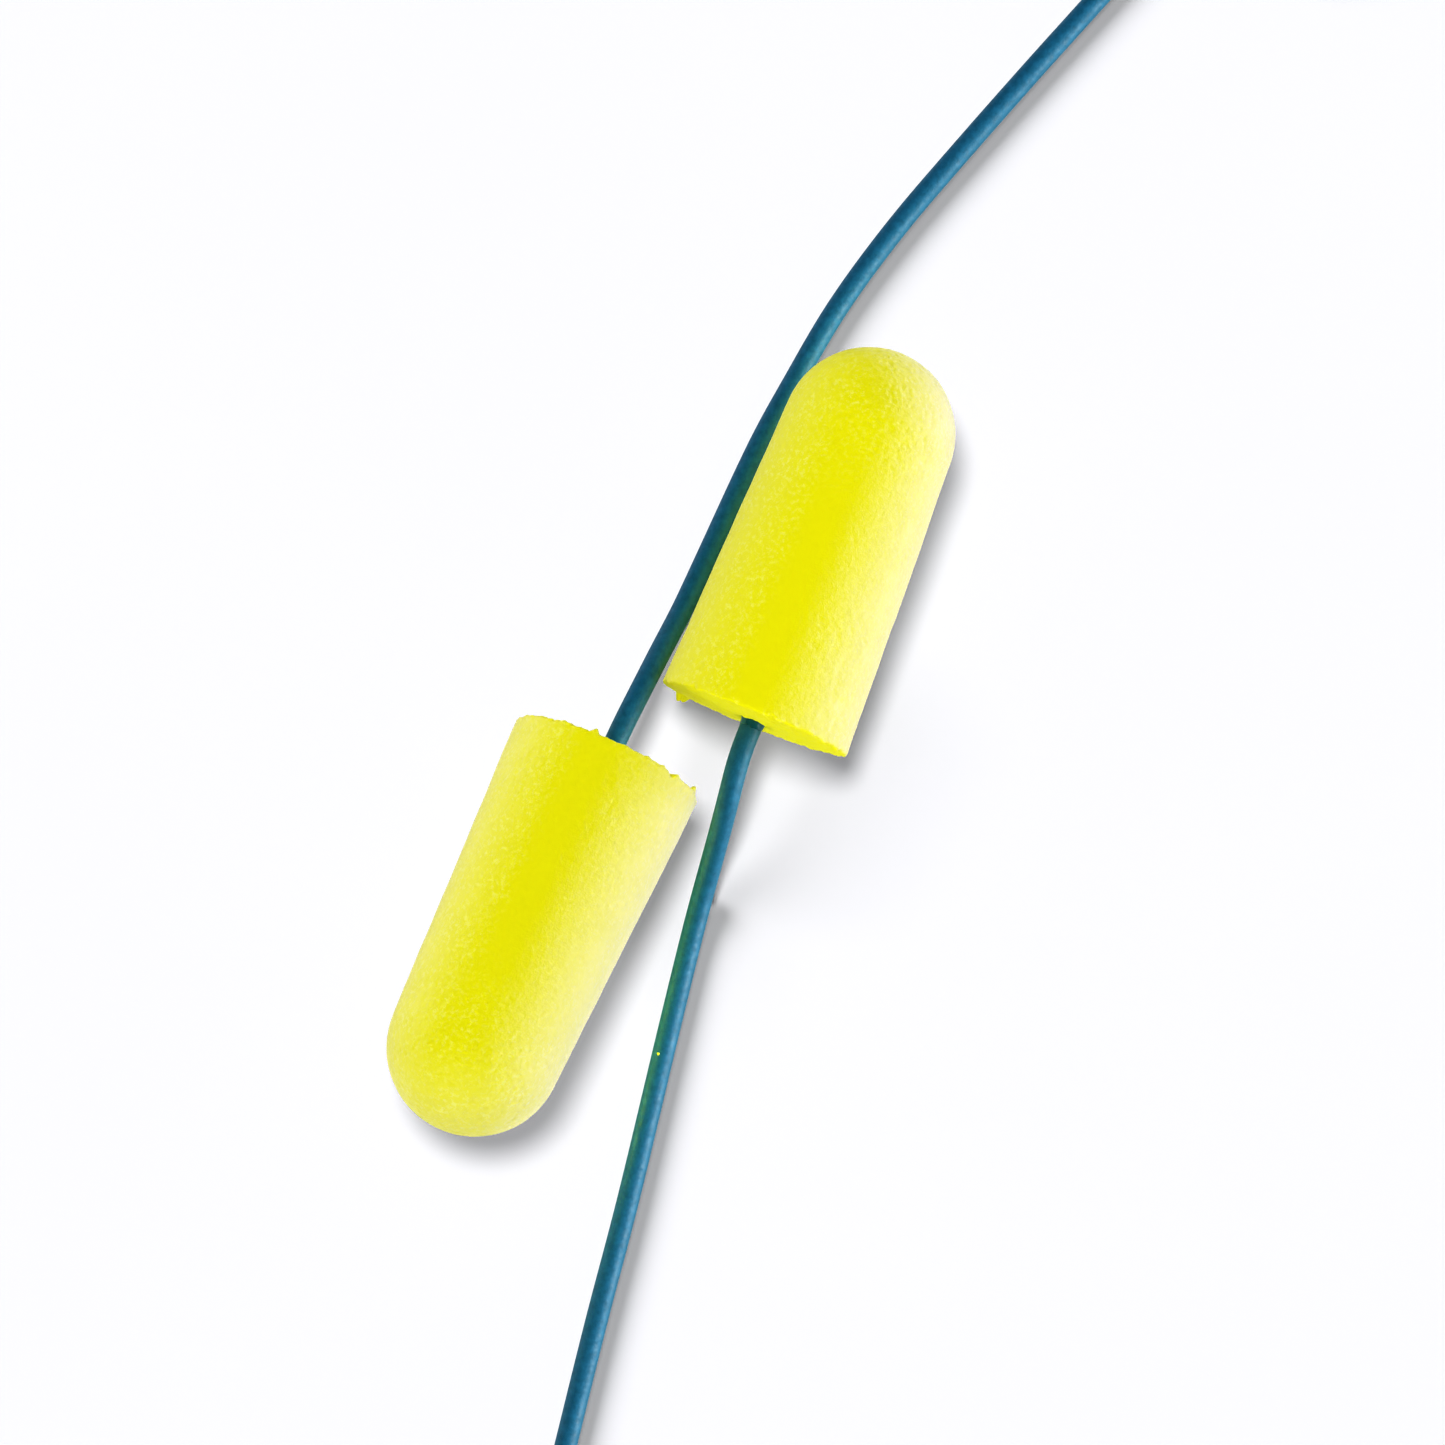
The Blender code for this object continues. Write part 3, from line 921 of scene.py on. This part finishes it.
def floor_key(name, way, light, floor, casters):
    """A sun that lights only the floor, by this share of white, and that only the casters shade."""
    heading, height = math.radians(way["heading"]), math.radians(way["height"])
    data = bpy.data.lights.new(name, "SUN")
    data.energy = light * math.pi / (FLOOR_SHADE * math.sin(height))
    data.color = way["colour"]
    data.angle = math.radians(way["spread"])
    sun = link(bpy.data.objects.new(name, data))
    flat = math.cos(height)
    towards = Vector((flat * math.cos(heading), flat * math.sin(heading), -math.sin(height)))
    sun.location = towards * -0.5
    aim_at(sun, Vector((0.0, 0.0, 0.0)))
    sun.light_linking.receiver_collection = floor
    sun.light_linking.blocker_collection = group(name + "_casters", casters)


def softbox(name, place, size, radiance, pieces, colour=(1.0, 1.0, 1.0)):
    """A rectangular lamp of the given radiance that faces the plugs and lights only some pieces."""
    data = bpy.data.lights.new(name, "AREA")
    data.shape = "RECTANGLE"
    data.size, data.size_y = size
    data.energy = radiance * math.pi * size[0] * size[1]
    data.color = colour
    lamp = link(bpy.data.objects.new(name, data))
    lamp.location = place
    lamp.visible_camera = False
    aim_at(lamp, Vector((0.0, 0.0, 0.005)))
    lamp.light_linking.receiver_collection = pieces
    return lamp


def foam_glow(side, pieces, floor):
    """The yellow light that a fluorescent plug throws on the cord beside it; it moves with the plug."""
    for along, power in GLOW[side]:
        data = bpy.data.lights.new(f"{side}_glow", "POINT")
        data.energy = power
        data.color = GLOW_COLOUR
        data.shadow_soft_size = GLOW_SOFTNESS * MM
        lamp = link(bpy.data.objects.new(f"{side}_glow", data))
        lamp.location = PLACES[side].point(along, above=-GLOW_BELOW)
        lamp.visible_camera = False
        lamp.parent = bpy.data.objects[f"foam_plug_skin_{side}"]
        lamp.light_linking.receiver_collection = pieces
        lamp.light_linking.blocker_collection = floor


def make_light(floor, cord_pieces):
    """Keys that draw the shadows on the floor, softboxes above and beside, and the plugs' own glow."""
    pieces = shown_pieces()
    roots = [piece for piece in cord_pieces if "root" in piece.name]
    loose = [piece for piece in cord_pieces if piece not in roots]
    plugs = [piece for piece in pieces if piece not in cord_pieces]
    lit_floor = group("lit_floor", [floor])
    # The roots come down from the plugs to the loose cord, so the keys for all ease one way into the other
    for name, way, light, casters in (
        ("steep_key", STEEP, 0.40, plugs + roots),
        ("steep_key_all", STEEP, 0.11, pieces),
        ("low_key", LOW, 0.26, loose),
        ("low_key_all", LOW, 0.20, cord_pieces),
    ):
        floor_key(name, way, light, lit_floor, casters)

    foams = group("foam_pieces", [piece for piece in pieces if "foam_plug" in piece.name])
    left_foam = group("left_foam", [foams.objects["foam_plug_skin_left"]])
    right_foam = group("right_foam", [foams.objects["foam_plug_skin_right"]])
    top = softbox("top_softbox", (-0.05, 0.05, 0.60), (0.50, 0.50), 3.7, group("lit_pieces", pieces))
    top.visible_glossy = False
    for name, place, radiance, receivers in (
        ("right_sheen", (0.55, 0.06, -0.07), 460.0, foams),
        ("left_sheen", (-0.55, 0.28, -0.21), 85.0, foams),
        ("left_sheen_outer", (-0.55, 0.28, -0.21), 80.0, left_foam),
        ("front_sheen", (-0.05, -0.55, -0.04), 165.0, left_foam),
    ):
        lamp = softbox(name, place, SHEEN_SIZE, radiance, receivers, SHEEN_COLOUR)
        lamp.visible_diffuse = False
        lamp.light_linking.blocker_collection = foams
    for name, radiance, receivers in (("front_fill", 1.8, foams), ("base_fill", 4.2, right_foam)):
        lamp = softbox(name, (-0.05, -0.55, 0.10), (0.34, 0.20), radiance, receivers)
        lamp.visible_glossy = False

    blue = group("blue_pieces", [piece for piece in pieces if "foam_plug" not in piece.name])
    softbox("right_cord_light", (0.55, -0.05, 0.15), (0.50, 0.36), 11.5, blue, (1.0, 0.96, 0.92))
    softbox("left_cord_light", (-0.55, 0.10, 0.16), (0.50, 0.30), 1.2, blue, (0.95, 0.98, 1.0))
    for side in PLACES:
        foam_glow(side, blue, lit_floor)


# ---------------------------------------------------------------- build

make_camera()
foam_finish = foam_material()
cord, roots, centreline = make_cord(cord_material())
for side in PLACES:
    make_foam(side, foam_finish)
glue_finish = glue_material()
for side in PLACES:
    make_glue(side, glue_finish)
tie_pieces = make_tie(tie_material())
crumb = make_crumb(centreline, foam_finish)
floor = make_floor()
make_surroundings()
make_light(floor, [cord, *roots.values(), crumb, *tie_pieces])

bpy.context.view_layer.update()
